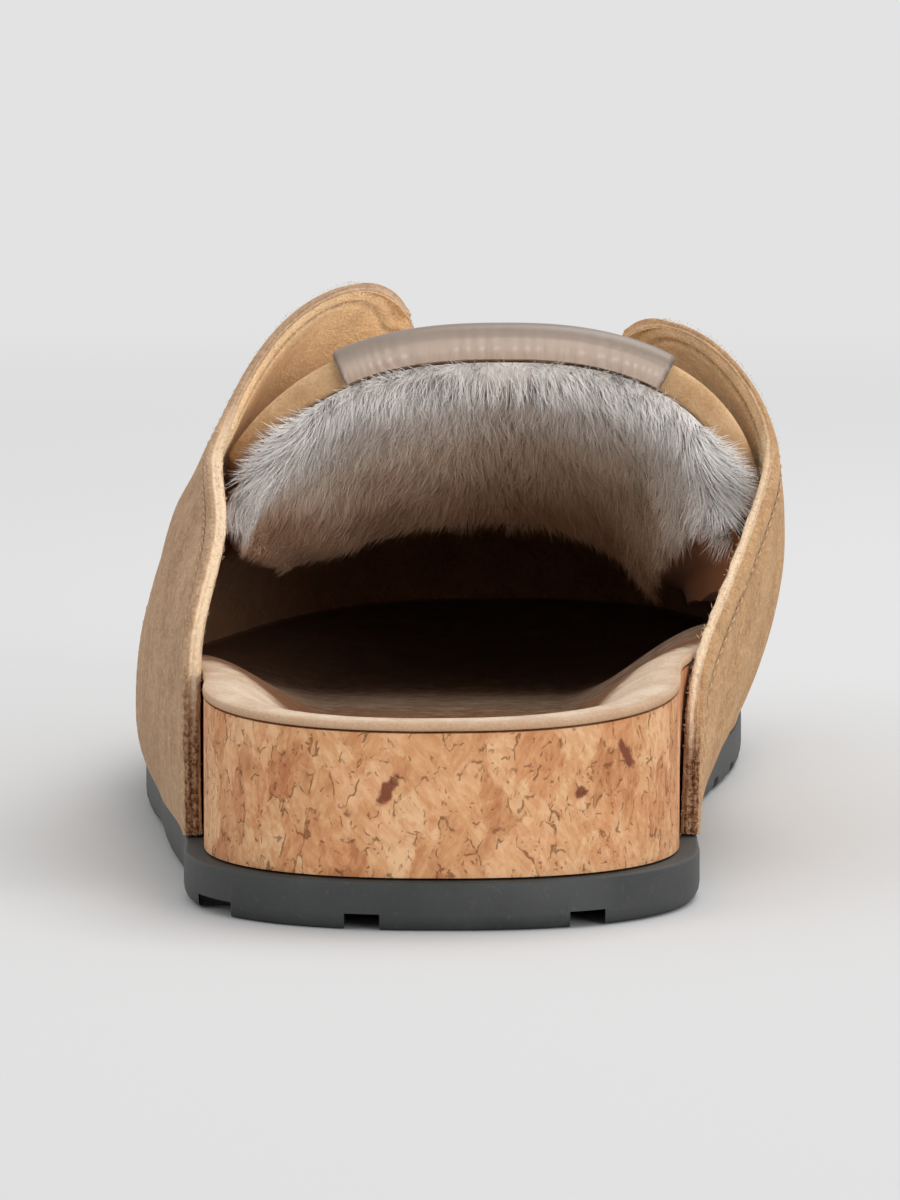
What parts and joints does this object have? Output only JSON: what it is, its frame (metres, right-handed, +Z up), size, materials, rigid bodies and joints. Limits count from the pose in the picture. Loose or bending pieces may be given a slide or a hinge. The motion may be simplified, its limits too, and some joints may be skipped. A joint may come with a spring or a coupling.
{
  "type": "mule",
  "caption": "Left backless mule with a cork footbed on a grooved rubber outsole, a suede upper with standing rounded facings, and a fur-lined tongue with a smooth band.",
  "frame": {"origin": "on the floor, under the middle of the shoe's box", "axes": "+Y towards the toe, -Y towards the heel, -X to the lateral side of this left shoe, +X to its medial side, +Z up"},
  "size_m": [0.0988, 0.2636, 0.0819],
  "materials": {
    "outsole": "matt charcoal moulded rubber",
    "footbed": "agglomerated cork, dry and matt",
    "insole": "beige suede lining",
    "upper": "tan suede with raw cut edges",
    "tongue": "golden tan suede",
    "tongue_fur": "silver-grey fur, brown in the shade",
    "tongue_band": "smooth taupe leather with a satin sheen"
  },
  "bodies": {
    "root": {"outsole": "outsole", "footbed": "footbed", "insole": "insole", "upper": "upper", "tongue": "tongue", "tongue_fur": "tongue_fur", "tongue_band": "tongue_band"}
  },
  "joints": []
}
